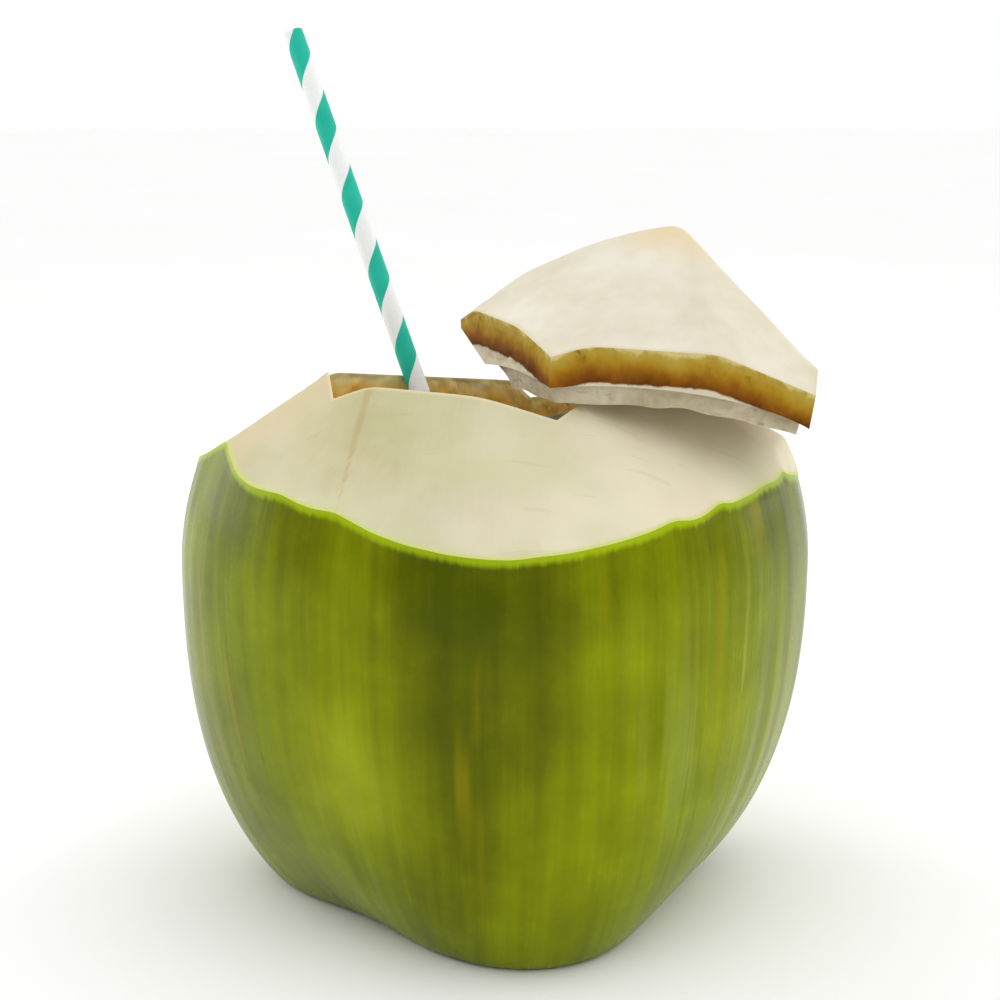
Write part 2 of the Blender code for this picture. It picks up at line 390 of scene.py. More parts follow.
# The wall ends on the hollow, or at MOUTH_ROOT where the hollow is lower.
wall_foot = np.full(azimuth.shape, WALL_FOOT_GUESS)
for _ in range(60):
    foot_x, foot_y = mouth_point(side, part, wall_foot)
    wall_foot = (wall_foot + np.maximum(hollow_ceiling(foot_x, foot_y), MOUTH_ROOT)) / 2

share = np.linspace(0, 1, WALL_ROWS + 1)[1:, None]
level = cut_grid[-1, :, 2] + share * (wall_foot - cut_grid[-1, :, 2])
wall_x, wall_y = mouth_point(side, part, level)
depth = cut_grid[-1, :, 2] - level
torn = ease(depth, 0, 0.0015) * (torn_fibre(level, WALL_FIBRE) + 0.25)
wall_x, wall_y = moved_out(wall_x, wall_y, torn)
wall_grid = np.stack([wall_x, wall_y, level], axis=-1)

foot_x, foot_y = wall_grid[-1, :, 0], wall_grid[-1, :, 1]
foot_turn = np.arctan2(foot_y, foot_x)
lift = np.clip((wall_grid[-1, :, 2] - HOLLOW_HEIGHT) / HOLLOW_HALF_DEPTH, 0, 1)
first_turn = np.arcsin(lift ** (HOLLOW_FULLNESS / 2))
share = np.linspace(0, 1, HOLLOW_ROWS + 2)[1:-1, None]
turn = first_turn + share * (-math.pi / 2 - first_turn)
bulge = np.abs(np.cos(turn)) ** (2 / HOLLOW_FULLNESS)
hollow_rise = np.sign(turn) * np.abs(np.sin(turn)) ** (2 / HOLLOW_FULLNESS)
hollow_z = HOLLOW_HEIGHT + HOLLOW_HALF_DEPTH * hollow_rise
lumps = 0.35 * MM * ripple(foot_turn, turn, 31, 9, 1.3)
hollow_radius = bulge * (HOLLOW_RADIUS + lumps * ease(share, 0, 0.1))
hollow_grid = np.stack(
    [hollow_radius * np.cos(foot_turn), hollow_radius * np.sin(foot_turn), hollow_z], axis=-1
)

grid = np.concatenate([skin_grid, cut_grid, wall_grid, hollow_grid])
cut_row = SKIN_ROWS - 1
mouth_row = cut_row + CUT_ROWS
hollow_row = mouth_row + WALL_ROWS
row_count = grid.shape[0]
zones = np.zeros(row_count - 1, int)
zones[cut_row:mouth_row] = 1
zones[mouth_row:hollow_row] = 2
zones[hollow_row:] = 3

coconut = closed_grid(
    "coconut_fruit",
    grid,
    ((0, 0, FOOT_DISH[0] - SCAR_DEPTH), (0, 0, HOLLOW_HEIGHT - HOLLOW_HALF_DEPTH)),
    zones,
    sharp_rows=(cut_row, mouth_row, hollow_row),
    sharp_columns=corner_columns,
    column_rows=(mouth_row, hollow_row),
)

# What the materials read, with the value at each pole: how far a point is from the three edges in
# mm, the way the fibres run, and where the skin and the cut change colour.
run_mm = lengths_along(grid) / MM
note(coconut, "from_cut", run_mm - run_mm[cut_row], -200, 300)
note(coconut, "from_mouth", run_mm - run_mm[mouth_row], -250, 250)
note(coconut, "from_hollow", run_mm - run_mm[hollow_row], -250, 100)
turned = np.where(np.arange(row_count)[:, None] > mouth_row, foot_turn, azimuth)
grain = np.stack([90 * np.cos(turned), 90 * np.sin(turned), run_mm], axis=-1)
note(coconut, "grain", grain, (0, 0, 0), (0, 0, 400))
grid_x, grid_y, grid_z = grid[..., 0], grid[..., 1], grid[..., 2]

# The marks on the skin: the azimuth of the band of painted shade, in degrees. The patch of painted
# highlight and the streaks of painted reflection: azimuth in degrees, height, and their spread, in
# radians round the fruit and in metres upwards.
PAINTED_SHADE_AZIMUTH = -92
PAINTED_HIGHLIGHT = (-117, 0.054, 0.17, 0.016)
PAINTED_REFLECTION_STREAKS = (-42, 0.062, 0.30, 0.032)


def mark(degrees, middle, around, upward):
    """1 at the middle of a mark, falling away on all sides."""
    return bell(turned_from(azimuth, degrees), around) * bell(grid_z - middle, upward)


# Painted shade: the skin is darkened in a band down the front ridge, which faces away from the side
# lights, together with some of its own darker streaks. The band fades out towards the foot.
from_front = turned_from(azimuth, PAINTED_SHADE_AZIMUTH)
painted_shade_band = 0.65 * ease(from_front, 0.24, 0.16) + 0.35 * ease(from_front, 0.75, 0.30)
painted_shade_band = painted_shade_band * ease(from_front, -0.30, -0.10)
note(coconut, "painted_shade_band", painted_shade_band * ease(grid_z, 0.020, 0.090), 0, 0)
note(coconut, "painted_highlight", mark(*PAINTED_HIGHLIGHT), 0, 0)
note(coconut, "painted_reflection_streaks", mark(*PAINTED_REFLECTION_STREAKS), 0, 0)

# The tan of the ridges between two cuts is weaker to the right, where the husk is pinker.
from_ridge = between_cuts(grid_x, grid_y) + 1.3 * ease(grid_x, -0.022, 0.0)
note(coconut, "from_ridge", from_ridge, 50, 50)
note(coconut, "pinker", ease(grid_x - 0.35 * grid_y, 0.0, 0.06), 0, 0)
scar = bell(np.hypot(grid_x, grid_y), SCAR_RADIUS) * (grid_z < 0.02)
note(coconut, "scar", scar, 1, 0)


class Socket:
    """One output of a node. Sums, differences and products of it add Math nodes."""

    def __init__(self, finish, output):
        self.finish = finish
        self.output = output

    def joined(self, operation, first, second):
        return self.finish.node("ShaderNodeMath", {"operation": operation}, {0: first, 1: second})

    def __add__(self, other):
        return self.joined("ADD", self, other)

    def __radd__(self, other):
        return self.joined("ADD", other, self)

    def __sub__(self, other):
        return self.joined("SUBTRACT", self, other)

    def __rsub__(self, other):
        return self.joined("SUBTRACT", other, self)

    def __mul__(self, other):
        return self.joined("MULTIPLY", self, other)

    def __rmul__(self, other):
        return self.joined("MULTIPLY", other, self)


def paint(red, green, blue):
    """A colour as it is seen, 0 to 255, as the linear light that a shader takes."""
    seen = np.array([red, green, blue]) / 255
    light = np.where(seen <= 0.04045, seen / 12.92, ((seen + 0.055) / 1.055) ** 2.4)
    return (*light.tolist(), 1.0)


class Finish:
    """A material of one shader, and the nodes that give it its colour, gloss and relief."""

    def __init__(self, name, constants):
        self.material = bpy.data.materials.new(name)
        self.material.use_nodes = True
        self.tree = self.material.node_tree
        self.shader = self.tree.nodes["Principled BSDF"]
        for socket, value in constants.items():
            self.shader.inputs[socket].default_value = value

    def node(self, kind, settings, inputs, output=0):
        """Adds a node: its settings first, then the values or links of its sockets."""
        made = self.tree.nodes.new(kind)
        stops = settings.pop("stops", None)
        for setting, value in settings.items():
            setattr(made, setting, value)
        if stops:
            ramp = made.color_ramp.elements
            for place, colour in stops[1:-1]:
                ramp.new(place)
            for element, (place, colour) in zip(ramp, stops):
                element.position = place
                element.color = colour
        for socket, value in inputs.items():
            self.feed(made.inputs[socket], value)
        return Socket(self, made.outputs[output])

    def feed(self, socket, value):
        if isinstance(value, Socket):
            self.tree.links.new(value.output, socket)
        else:
            socket.default_value = value

    def number(self, name):
        """A number that the piece's mesh keeps for every point."""
        return self.node("ShaderNodeAttribute", {"attribute_name": name}, {}, 2)

    def vector(self, name):
        return self.node("ShaderNodeAttribute", {"attribute_name": name}, {}, 1)

    def place(self):
        return self.node("ShaderNodeTexCoord", {}, {}, 3)

    def stretch(self, vector, factors):
        return self.node("ShaderNodeVectorMath", {"operation": "MULTIPLY"}, {0: vector, 1: factors})

    def noise(self, vector, scale, detail=3.0, roughness=0.5, distortion=0.0):
        inputs = {"Vector": vector, "Scale": scale, "Detail": detail, "Roughness": roughness}
        inputs["Distortion"] = distortion
        return self.node("ShaderNodeTexNoise", {}, inputs)

    def rise(self, value, start, end):
        """0 before start, 1 after end, and an S-shaped rise between them; start may be the larger."""
        inputs = {"Value": value, "From Min": start, "From Max": end}
        return self.node("ShaderNodeMapRange", {"interpolation_type": "SMOOTHSTEP"}, inputs)

    def blend(self, factor, first, second, how="MIX"):
        settings = {"data_type": "RGBA", "blend_type": how}
        return self.node("ShaderNodeMix", settings, {0: factor, 6: first, 7: second}, 2)

    def ramp(self, value, stops):
        return self.node("ShaderNodeValToRGB", {"stops": stops}, {"Fac": value})

    def relief(self, height, depth, before=None):
        """A bump of the given depth in metres."""
        inputs = {"Height": height, "Distance": depth, "Strength": 1.0}
        if before:
            inputs["Normal"] = before
        return self.node("ShaderNodeBump", {}, inputs)

    def show(self, **outputs):
        for socket, value in outputs.items():
            self.feed(self.shader.inputs[socket.replace("_", " ")], value)
        return self.material


def green_skin():
    """Waxy skin: broad soft patches, faint streaks up and down, a band of painted shade on the front
    ridge, a patch of painted highlight low beside it and streaks of painted reflection on the right,
    a bright lime line at the cut and a brown stem scar."""
    made = Finish("green_skin", {"Specular IOR Level": 0.07})
    grain = made.vector("grain")
    place = made.place()
    long_streaks = made.noise(made.stretch(grain, (1, 1, 0.05)), 0.13, 3.0, 0.55)
    fine_streaks = made.noise(made.stretch(grain, (1, 1, 0.035)), 0.60, 3.0, 0.55)
    patches = made.noise(made.stretch(place, (1, 1, 0.6)), 15.0, 2.0, 0.5)
    clouds = made.noise(place, 60.0, 3.0, 0.55)
    specks = made.noise(place, 700.0, 2.0, 0.6)
    from_cut = made.number("from_cut")
    shoulder = made.rise(from_cut, -34, -8) * (0.6 + 0.8 * patches)
    tone = 0.26 * long_streaks + 0.06 * fine_streaks + 0.46 * patches + 0.22 * clouds
    tone = tone + 0.04 * (specks - 0.5) - 0.07 * shoulder
    # Painted shade down the front ridge.
    tone = tone - 0.15 * made.number("painted_shade_band") * (0.7 + 0.6 * long_streaks)
    colour = made.ramp(tone, [
        (0.26, paint(74, 82, 0)),
        (0.40, paint(99, 107, 0)),
        (0.54, paint(125, 137, 0)),
        (0.68, paint(150, 163, 0)),
    ])
    warm = made.rise(made.noise(made.stretch(grain, (1, 1, 0.12)), 0.11, 2.0, 0.5), 0.60, 0.74)
    colour = made.blend(0.4 * warm, colour, paint(158, 142, 0))
    # A painted highlight: a pale patch low on the front left of the skin.
    painted_highlight = made.number("painted_highlight") * (0.5 + clouds)
    colour = made.blend(0.34 * painted_highlight, colour, paint(184, 198, 44))
    # Painted reflection: pale streaks up the right front, where the fine ribs catch the light.
    soft_streaks = made.noise(made.stretch(grain, (1, 1, 0.04)), 0.28, 3.0, 0.5)
    reflection_wisps = made.number("painted_reflection_streaks") * made.rise(soft_streaks, 0.46, 0.64)
    colour = made.blend(0.5 * reflection_wisps, colour, paint(182, 196, 104))
    ragged = from_cut + 1.6 * (fine_streaks - 0.5) + 1.0 * (clouds - 0.5)
    lime = made.rise(ragged, -2.7, -0.6) * (0.62 + 0.5 * patches)
    colour = made.blend(lime, colour, paint(158, 182, 16))
    scar = made.rise(made.number("scar") + 0.5 * (clouds - 0.5), 0.25, 0.60)
    colour = made.blend(scar, colour, paint(112, 86, 50))
    roughness = 0.17 + 0.12 * clouds + 0.06 * fine_streaks
    height = 0.40 * fine_streaks + 0.40 * clouds + 0.2 * specks
    return made.show(
        Base_Color=colour, Roughness=roughness, Normal=made.relief(height, 0.00020)
    )


def cut_husk():
    """Freshly cut husk: cream, damp, in soft olive and pinkish patches, tan where it is bruised
    and along the ridges between two knife cuts, with short fibres and a few fine scratches."""
    made = Finish("cut_husk", {"Specular IOR Level": 0.25})
    grain = made.vector("grain")
    place = made.place()
    fibres = made.noise(made.stretch(grain, (1, 1, 0.16)), 0.8, 4.0, 0.6)
    clouds = made.noise(place, 30.0, 3.0, 0.5)
    tint = made.noise(place, 19.0, 2.0, 0.5)
    bruises = made.rise(made.noise(place, 44.0, 3.0, 0.55), 0.58, 0.74)
    colour = made.ramp(0.12 * fibres + 0.88 * clouds, [
        (0.36, paint(190, 183, 140)),
        (0.50, paint(202, 195, 158)),
        (0.64, paint(212, 205, 175)),
    ])
    colour = made.blend(0.75 * made.number("pinker"), colour, paint(236, 226, 202))
    colour = made.blend(0.55 * made.rise(tint, 0.50, 0.36), colour, paint(204, 204, 160))
    colour = made.blend(0.45 * made.rise(tint, 0.52, 0.66), colour, paint(224, 205, 170))
    colour = made.blend(0.30 * bruises, colour, paint(200, 178, 128))
    ridge = made.number("from_ridge") + 1.4 * (clouds - 0.5)
    old_ridge = made.rise(ridge, 0.45, 0.0)
    colour = made.blend(0.5 * old_ridge, colour, paint(186, 158, 104))
    from_cut = made.number("from_cut") + 0.8 * (fibres - 0.5)
    strokes = made.noise(made.stretch(place, (0.5, 5, 1)), 95.0, 1.0, 0.3, 0.3)
    scratches = made.rise(strokes, 0.695, 0.725)
    colour = made.blend(0.11 * scratches, colour, paint(160, 146, 112))
    rind = made.rise(from_cut, 1.9, 0.3)
    colour = made.blend(0.85 * rind, colour, paint(204, 210, 118))
    # A painted highlight: a paler line on the crown along the mouth's edge.
    rim = made.rise(made.number("from_mouth") + 0.6 * (clouds - 0.5), -1.4, -0.3)
    colour = made.blend(0.5 * rim, colour, paint(238, 222, 184))
    height = 0.6 * fibres + 0.4 * made.noise(place, 700.0, 3.0, 0.6)
    return made.show(
        Base_Color=colour, Roughness=0.55 + 0.2 * fibres, Normal=made.relief(height, 0.00014)
    )


def browned_fibre(name, stops, depth_name, husk_depth, flesh_name, flesh_start):
    """The section through the husk after it has browned in the air: its stops run from the cut
    down to the husk's depth, blotched and with darker fibre bundles, and white flesh is lowest."""
    made = Finish(name, {"Specular IOR Level": 0.12})
    place = made.place()
    bundles = made.noise(made.stretch(place, (1, 1, 0.6)), 260.0, 4.0, 0.6, 0.4)
    blotches = made.noise(place, 90.0, 3.0, 0.55)
    grit = made.noise(place, 650.0, 3.0, 0.65)
    depth = made.number(depth_name)
    down = depth * (1 / husk_depth) + 0.45 * (bundles - 0.5) + 0.5 * (blotches - 0.5)
    colour = made.ramp(down + 0.10 * (grit - 0.5), stops)
    dark = made.rise(0.6 * bundles + 0.4 * blotches + 0.1 * grit, 0.62, 0.76)
    colour = made.blend(0.6 * dark, colour, paint(84, 44, 2))
    ragged = made.number(flesh_name) + 1.6 * (bundles - 0.5)
    flesh = made.rise(ragged, flesh_start, flesh_start + 0.7)
    colour = made.blend(flesh, colour, paint(208, 200, 172))
    height = 0.6 * bundles + 0.4 * grit
    return made.show(
        Base_Color=colour, Roughness=0.75 - 0.3 * flesh, Normal=made.relief(height, 0.0004)
    )


def nut_flesh(name, stops, crease_shade_share):
    """The young nut's flesh: smooth, wet and a little glassy, in soft clouds, with painted shade in
    its creases."""
    made = Finish(name, {
        "Specular IOR Level": 0.5,
        "Subsurface Weight": 0.2,
        "Subsurface Radius": (0.004, 0.004, 0.0035),
        "Subsurface Scale": 1.0,
    })
    place = made.place()
    clouds = made.noise(place, 60.0, 3.0, 0.55)
    veins = made.noise(place, 180.0, 4.0, 0.6, 0.6)
    colour = made.ramp(0.6 * clouds + 0.4 * veins, stops)
    folds = made.noise(made.stretch(place, (1, 1, 3)), 110.0, 3.0, 0.6, 0.8)
    # Painted shade in the flesh's creases.
    colour = made.blend(crease_shade_share * made.rise(folds, 0.58, 0.72), colour, paint(122, 102, 70))
    return made.show(
        Base_Color=colour, Roughness=0.22 + 0.2 * veins, Normal=made.relief(veins, 0.0004)
    )


green_skin_finish = green_skin()
cut_husk_finish = cut_husk()
# Painted light: the wall's stops are lighter than the lid section's, to stand in for light on a wall
# that lies in shade inside the mouth.
wall_finish = browned_fibre(
    "mouth_wall",
    [
        (0.00, paint(224, 208, 152)),
        (0.12, paint(222, 190, 112)),
        (0.36, paint(222, 170, 70)),
        (0.62, paint(212, 146, 48)),
        (0.92, paint(176, 110, 28)),
    ],
    "from_mouth", 20.0, "from_hollow", -0.8,
)
flesh_finish = nut_flesh("white_flesh", [
    (0.35, paint(190, 182, 156)),
    (0.52, paint(216, 210, 190)),
    (0.68, paint(230, 226, 210)),
], 0.1)
for finish in (green_skin_finish, cut_husk_finish, wall_finish, flesh_finish):
    coconut.data.materials.append(finish)
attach(coconut, "root")
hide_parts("coconut")

# The lid: the plug that the five strokes freed, turned over the right of the mouth. Its top is
# the old crown's cuts; its sides show the husk's section, and the nut's cap lines it below with
# white flesh that stands a little back from the edge.

# The knife's gap on each side. Each dome: radius, rise and height of its edge.
KERF = 0.0004
NUT_DOME = (0.064, 0.0180, 0.1262)
FLESH_DOME = (0.064, 0.0160, 0.1215)
FLESH_SETBACK = 0.0025
SETBACK_SWAY = 0.9 * MM
LEAST_SETBACK = 1.2 * MM
FOLD_DEPTH = 0.5 * MM
FOLD_CLEARANCE = 0.1 * MM
STEP_SHARE = 0.15
SECTION_FIBRE = ((0.12, 51, 90, 0.003, 40), (0.26, 52, 40, 0.006, 30))
# The break under the first corner: azimuth and slope in degrees, and height at the corner.
THIN_CORNER = (-142.0, 36.0, 0.1465)
# Where the lid was, where it lies now, and its turn and tips in degrees.
LID_PIVOT = Vector((0.013, -0.048, 0.134))
LID_PLACE = Vector((0.0123, -0.0475, 0.15035))
LID_TURN = -52.7
LID_TIP_RIGHT = 4.6
LID_TIP_FORWARD = -2.4

# The cuts over the lid's peak, where one plain facet stands for the two on the right.
FULL_CUTS = np.vstack([CROWN_CUTS[:4], [(-2.0, 33.8, 0.1487)], CROWN_CUTS[6:]])

LID_COLUMNS = 440
FLESH_ROWS = 40
STEP_ROWS = 6
LEDGE_ROWS = 8
SECTION_ROWS = 34
TOP_ROWS = 84
TOP_CROWDING = 1.15


def dome_height(x, y, dome):
    """Height of a flattened dome over a point: edge height + rise * sqrt(1 - (r / R) ** 2)."""
    radius, rise, height = dome
    return height + rise * np.sqrt(np.clip(1 - (np.hypot(x, y) / radius) ** 2, 0, 1))


def thin_plane(x, y, inset):
    """Height of the break that thins one corner, raised by the inset across it."""
    turn, slope = math.radians(THIN_CORNER[0]), math.radians(THIN_CORNER[1])
    corner = MOUTH_CORNERS[0]
    reach = (x - corner[0]) * math.cos(turn) + (y - corner[1]) * math.sin(turn)
    return THIN_CORNER[2] + math.tan(slope) * reach + inset / math.cos(slope)


def lid_crown_height(x, y):
    """The knife cuts over the lid, whose right facet keeps its full height up to the peak."""
    full = crown_height(x, y, FULL_CUTS)
    return np.maximum(crown_height(x, y), full)


def nut_height(x, y):
    return np.maximum(dome_height(x, y, NUT_DOME), thin_plane(x, y, KERF))


def flesh_height(x, y):
    inner = np.maximum(dome_height(x, y, FLESH_DOME), thin_plane(x, y, KERF + FLESH_SETBACK))
    return np.minimum(nut_height(x, y), inner)


side, part, azimuth, corner_columns = mouth_columns(LID_COLUMNS)
setback = KERF + FLESH_SETBACK + SETBACK_SWAY * ripple(azimuth, 0.0, 41, 14, 1.0)
setback = np.maximum(setback, LEAST_SETBACK)

section_foot = np.full(azimuth.shape, WALL_FOOT_GUESS)
section_head = np.full(azimuth.shape, MOUTH_LEVEL)
for _ in range(60):
    foot_x, foot_y = mouth_point(side, part, section_foot, KERF)
    head_x, head_y = mouth_point(side, part, section_head, KERF)
    section_foot = (section_foot + nut_height(foot_x, foot_y)) / 2
    section_head = lid_crown_height(head_x, head_y)

rim_x, rim_y = mouth_point(side, part, section_foot, KERF)
flesh_edge_x, flesh_edge_y = mouth_point(side, part, section_foot, setback)
share = np.linspace(0, 1, FLESH_ROWS + 1)[1:, None]
flesh_x, flesh_y = share * flesh_edge_x, share * flesh_edge_y
flesh_turn = np.arctan2(flesh_y, flesh_x)
folds = FOLD_DEPTH * (1 + ripple(flesh_turn, 0.02 * share, 43, 24, 0.02))
flesh_z = flesh_height(flesh_x, flesh_y) + folds * ease(share, 0.3, 1.0)
flesh_z = np.minimum(flesh_z, nut_height(flesh_x, flesh_y) - FOLD_CLEARANCE)
flesh_grid = np.stack([flesh_x, flesh_y, flesh_z], axis=-1)

share = np.linspace(0, 1, STEP_ROWS + 1)[1:, None]
step_x = flesh_edge_x + share * STEP_SHARE * (rim_x - flesh_edge_x)
step_y = flesh_edge_y + share * STEP_SHARE * (rim_y - flesh_edge_y)
step_top = nut_height(step_x[-1], step_y[-1])
step_z = flesh_z[-1] + share * (step_top - flesh_z[-1])
step_grid = np.stack([step_x, step_y, step_z], axis=-1)

share = np.linspace(0, 1, LEDGE_ROWS + 1)[1:, None]
ledge_x = step_x[-1] + share * (rim_x - step_x[-1])
ledge_y = step_y[-1] + share * (rim_y - step_y[-1])
ledge_z = nut_height(ledge_x, ledge_y)
ledge_grid = np.stack([ledge_x, ledge_y, ledge_z], axis=-1)

share = np.linspace(0, 1, SECTION_ROWS + 1)[1:, None]
level = section_foot + share * (section_head - section_foot)
section_x, section_y = mouth_point(side, part, level, KERF)
depth = section_head - level
torn = torn_fibre(level, SECTION_FIBRE) - 0.30
torn = ease(depth, 0, 0.0012) * ease(share, 0, 0.15) * torn
section_x, section_y = moved_out(section_x, section_y, torn)
section_grid = np.stack([section_x, section_y, level], axis=-1)

share = np.linspace(0, 1, TOP_ROWS + 2)[1:-1, None]
share = 1 - (1 - share) ** TOP_CROWDING
top_x, top_y = (1 - share) * section_x[-1], (1 - share) * section_y[-1]
settle = ease(share * np.hypot(section_x[-1], section_y[-1]), 0, 0.003)
top_z = lid_crown_height(top_x, top_y) + settle * (knife_marks(top_x, top_y) - BLADE_WAVE)
top_grid = np.stack([top_x, top_y, top_z], axis=-1)

grid = np.concatenate([flesh_grid, step_grid, ledge_grid, section_grid, top_grid])
step_row = FLESH_ROWS - 1
ledge_row = step_row + STEP_ROWS
rim_row = ledge_row + LEDGE_ROWS
top_row = rim_row + SECTION_ROWS
row_count = grid.shape[0]
zones = np.zeros(row_count - 1, int)
zones[ledge_row:top_row] = 1
zones[top_row:] = 2

lid_pose = (
    Matrix.Translation(LID_PLACE)
    @ Matrix.Rotation(math.radians(LID_TIP_RIGHT), 4, "Y")
    @ Matrix.Rotation(math.radians(LID_TIP_FORWARD), 4, "X")
    @ Matrix.Rotation(math.radians(LID_TURN), 4, "Z")
    @ Matrix.Translation(-LID_PIVOT)
)
middle = np.zeros(1)
low_pole = (0, 0, float(flesh_height(middle, middle)[0]))
high_pole = (0, 0, float(lid_crown_height(middle, middle)[0]))
lid = closed_grid(
    "coconut_lid",
    grid,
    (low_pole, high_pole),
    zones,
    sharp_rows=(step_row, ledge_row, rim_row, top_row),
    sharp_columns=corner_columns,
    column_rows=(rim_row, top_row),
)
run_mm = lengths_along(grid) / MM
note(lid, "below_top", run_mm[top_row] - run_mm, 100, -100)
apex = np.argmax(grid[..., 2])
apex_x, apex_y = grid.reshape(-1, 3)[apex, :2]
from_apex = np.hypot(grid[..., 0] - apex_x, grid[..., 1] - apex_y) / MM
note(lid, "from_apex", from_apex, 10, math.hypot(apex_x, apex_y) / MM)
lid.data.transform(lid_pose)


def lid_top():
    """The lid's top: creamier than the crown, with a tan bruise on its peak."""
    made = Finish("lid_top", {"Specular IOR Level": 0.35})
    place = made.place()
    fibres = made.noise(made.stretch(place, (1, 1, 0.4)), 240.0, 4.0, 0.65)
    clouds = made.noise(place, 30.0, 3.0, 0.55)
    colour = made.ramp(0.2 * fibres + 0.8 * clouds, [
        (0.34, paint(208, 198, 168)),
        (0.50, paint(220, 212, 190)),
        (0.66, paint(230, 224, 207)),
    ])
    bruise = 1 - made.rise(made.number("from_apex") + 16 * (clouds - 0.5), 3, 22)
    colour = made.blend(0.5 * bruise, colour, paint(226, 194, 124))
    rim = 1 - made.rise(-1 * made.number("below_top"), 0.2, 1.6)
    colour = made.blend(0.35 * rim, colour, paint(214, 190, 130))
    height = 0.6 * fibres + 0.4 * made.noise(place, 700.0, 3.0, 0.6)
    return made.show(
        Base_Color=colour, Roughness=0.55 + 0.2 * fibres, Normal=made.relief(height, 0.00012)
    )


# The lid's flesh: the same flesh as the hollow's, painted greyer and darker as shade under the lid,
# with much more painted shade in its creases.
lid_flesh_finish = nut_flesh("lid_flesh", [
    (0.35, paint(150, 136, 102)),
    (0.50, paint(184, 172, 142)),
    (0.68, paint(214, 205, 184)),
], 0.6)
section_finish = browned_fibre(
    "lid_section",
    [
        (0.00, paint(208, 192, 126)),
        (0.10, paint(180, 156, 64)),
        (0.40, paint(168, 130, 30)),
        (0.68, paint(140, 88, 12)),
        (0.98, paint(98, 50, 4)),
    ],
    "below_top", 9.6, "below_top", 9.2,
)
for finish in (lid_flesh_finish, section_finish, lid_top()):
    lid.data.materials.append(finish)
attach(lid, "root")
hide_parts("lid")

# The straw: three plies of paper wound on a spiral and glued, turquoise and white in even
# stripes, and cut square at both ends. It stands on the hollow's floor and leans on the mouth.

STRAW_LENGTH = 0.197
STRAW_RADIUS = 0.003
STRAW_WALL = 0.0004
STRAW_FOOT = Vector((0.0031, -0.0011, 0.0698))
STRAW_LEAN = Vector((-0.3316, 0.3090, 0.8910))
# Along the straw, one turn of the stripe; and the turns that it has made at the foot.
STRIPE_PITCH = 0.0243
STRIPE_START = 0.306
# The edge of the outer ply, a shallow groove beside the stripe: its angle from it and its spread.
LAP_DEPTH = 0.00006
LAP_TURN = 0.4
LAP_SPREAD = 0.25
STRAW_COLUMNS = 64
STRAW_ROWS = 260


def tube_profile(length, radius, wall):
    """Radius and height along the tube's section: up the outside and down the inside, with a
    half-round lip at each end."""
    outside = np.linspace(wall / 2, length - wall / 2, STRAW_ROWS)
    lip = np.linspace(0, math.pi, 7)[1:-1]
    top_r = radius - wall / 2 + wall / 2 * np.cos(lip)
    top_z = length - wall / 2 + wall / 2 * np.sin(lip)
    foot_r = radius - wall / 2 - wall / 2 * np.cos(lip)
    foot_z = wall / 2 - wall / 2 * np.sin(lip)
    outer, inner = np.full(STRAW_ROWS, radius), np.full(STRAW_ROWS, radius - wall)
    radii = np.concatenate([outer, top_r, inner, foot_r])
    heights = np.concatenate([outside, top_z, outside[::-1], foot_z])
    return radii, heights


turn = np.linspace(0, 2 * math.pi, STRAW_COLUMNS, endpoint=False)
radii, heights = tube_profile(STRAW_LENGTH, STRAW_RADIUS, STRAW_WALL)
wound = (heights[:, None] / STRIPE_PITCH + STRIPE_START) * 2 * math.pi - turn
seam = np.angle(np.exp(1j * (wound - LAP_TURN)))
lapped = radii[:, None] - LAP_DEPTH * ease(np.abs(seam), LAP_SPREAD, 0.0)
straw_grid = np.stack(
    [lapped * np.cos(turn), lapped * np.sin(turn), heights[:, None] + 0 * turn], axis=-1
)
rows, columns = straw_grid.shape[:2]
index = np.arange(rows * columns).reshape(rows, columns)
right, up = np.roll(index, -1, axis=1), np.roll(index, -1, axis=0)
quads = np.stack([index, right, np.roll(right, -1, axis=0), up], axis=-1).reshape(-1, 4)
straw_mesh = bpy.data.meshes.new("paper_straw")
straw_mesh.from_pydata(straw_grid.reshape(-1, 3), [], quads.tolist())
straw_mesh.shade_smooth()
winding = np.stack([np.cos(wound), np.sin(wound), heights[:, None] / MM + 0 * turn], axis=-1)
kept_winding = straw_mesh.attributes.new("winding", "FLOAT_VECTOR", "POINT")
kept_winding.data.foreach_set("vector", winding.ravel())
inside = np.repeat((radii < STRAW_RADIUS - STRAW_WALL / 2).astype(float), columns)
straw_mesh.attributes.new("inside", "FLOAT", "POINT").data.foreach_set("value", inside)
lean = STRAW_LEAN.to_track_quat("Z", "Y").to_matrix().to_4x4()
straw_mesh.transform(Matrix.Translation(STRAW_FOOT) @ lean)
straw = bpy.data.objects.new("paper_straw", straw_mesh)
bpy.context.scene.collection.objects.link(straw)


def striped_paper():
    """Printed paper: the stripe is the side of the winding on which its cosine is positive."""
    made = Finish("striped_paper", {"Specular IOR Level": 0.3})
    place = made.place()
    winding = made.vector("winding")
    across = made.node("ShaderNodeSeparateXYZ", {}, {0: winding}, 0)
    pulp = made.noise(place, 1500.0, 3.0, 0.6)
    clouds = made.noise(place, 220.0, 2.0, 0.5)
    printed = made.rise(across + 0.05 * (pulp - 0.5), -0.03, 0.03)
    printed = printed * (1 - made.number("inside"))
    teal = made.blend(clouds, paint(16, 172, 148), paint(34, 190, 164))
    white = made.blend(pulp, paint(226, 230, 228), paint(246, 248, 247))
    colour = made.blend(printed, white, teal)
    return made.show(
        Base_Color=colour, Roughness=0.55 + 0.2 * pulp, Normal=made.relief(pulp, 0.00005)
    )


straw_mesh.materials.append(striped_paper())
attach(straw, "root")
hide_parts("straw")

# The studio: a floor of plain white card, a soft box behind each side of the fruit, which gives its
# flanks their pale sheen, and a wide soft light above the front.

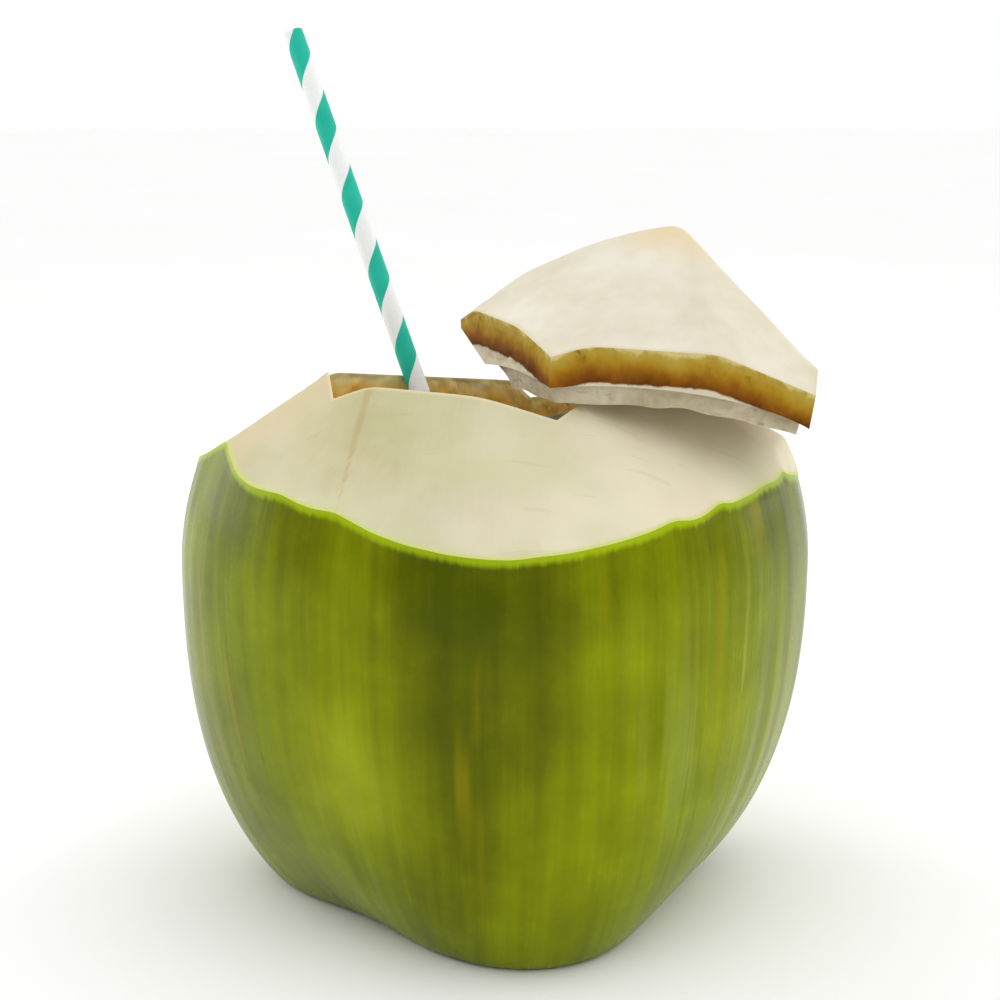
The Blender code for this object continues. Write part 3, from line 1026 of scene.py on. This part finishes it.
FLOOR_SIZE = 12.0
BOX_SIZE = 0.8
LIGHTS_AIM = (0, 0, 0.10)


def studio_floor():
    """A flat square of pale card."""
    half = FLOOR_SIZE / 2
    mesh = bpy.data.meshes.new("studio_floor")
    corners = [(-half, -half, 0), (half, -half, 0), (half, half, 0), (-half, half, 0)]
    mesh.from_pydata(corners, [], [(0, 1, 2, 3)])
    made = bpy.data.objects.new("studio_floor", mesh)
    bpy.context.scene.collection.objects.link(made)
    card = Finish("pale_card", {"Specular IOR Level": 0.0, "Roughness": 0.9})
    tone = card.noise(card.place(), 3.0, 2.0, 0.5)
    colour = card.blend(tone, paint(246, 246, 245), paint(250, 250, 250))
    mesh.materials.append(card.show(Base_Color=colour))
    return made


studio_floor()


def soft_box(name, place, power):
    """A square light of the given power, turned to face the fruit."""
    light = bpy.data.lights.new(name, "AREA")
    light.shape = "SQUARE"
    light.size = BOX_SIZE
    light.energy = power
    made = bpy.data.objects.new(name, light)
    made.location = place
    made.rotation_euler = (Vector(LIGHTS_AIM) - Vector(place)).to_track_quat("-Z", "Y").to_euler()
    bpy.context.scene.collection.objects.link(made)


soft_box("box_left", (-1.00, 0.50, 0.45), 4.6)
soft_box("box_right", (1.00, 0.55, 0.50), 3.2)

overhead = bpy.data.lights.new("overhead", "SUN")
overhead.energy = 1.72
overhead.angle = math.radians(95)
overhead_lamp = bpy.data.objects.new("overhead", overhead)
overhead_lamp.rotation_euler = (math.radians(28), math.radians(9), 0)
overhead_lamp.visible_glossy = False
bpy.context.scene.collection.objects.link(overhead_lamp)

# The room is white to the eye. As a light it is bright behind the fruit and dim in front of it, so
# that the waxy skin shines only along its flanks.
BRIGHT_SIDE = (0.10, 1.0, 0.0)
room = bpy.data.worlds.new("white_room")
room.use_nodes = True


def room_node(kind, settings, inputs, output):
    """Adds a node to the room's tree, as a finish does to a material's."""
    made = room.node_tree.nodes.new(kind)
    for setting, value in settings.items():
        setattr(made, setting, value)
    for socket, value in inputs.items():
        if isinstance(value, bpy.types.NodeSocket):
            room.node_tree.links.new(value, made.inputs[socket])
        else:
            made.inputs[socket].default_value = value
    return made.outputs[output]


facing = room_node("ShaderNodeTexCoord", {}, {}, "Generated")
backward = room_node(
    "ShaderNodeVectorMath", {"operation": "DOT_PRODUCT"}, {0: facing, 1: BRIGHT_SIDE}, "Value"
)
side_glow = room_node(
    "ShaderNodeMapRange",
    {"interpolation_type": "SMOOTHSTEP"},
    {"Value": backward, "From Min": 0.18, "From Max": 0.42, "To Min": 0.44, "To Max": 0.84},
    0,
)
seen = room_node("ShaderNodeLightPath", {}, {}, "Is Camera Ray")
glow = room.node_tree.nodes["Background"].inputs
strength = room_node("ShaderNodeMix", {}, {"Factor": seen, "A": side_glow, "B": 1.0}, 0)
room.node_tree.links.new(strength, glow["Strength"])
glow["Color"].default_value = (1.0, 1.0, 1.0, 1.0)
bpy.context.scene.world = room
bpy.context.scene.view_settings.view_transform = "Standard"

# The camera stands in front of the fruit and a little above its rim, as for the photograph.
CAMERA_PLACE = Vector((0.0, -0.65, 0.2427))
CAMERA_AIM = Vector((0.0, 0.0, 0.114))
lens = bpy.data.cameras.new("photo_camera")
lens.lens = 83.4
lens.sensor_width = 36.0
camera = bpy.data.objects.new("photo_camera", lens)
camera.location = CAMERA_PLACE
camera.rotation_euler = (CAMERA_AIM - CAMERA_PLACE).to_track_quat("-Z", "Y").to_euler()
bpy.context.scene.collection.objects.link(camera)
bpy.context.scene.camera = camera
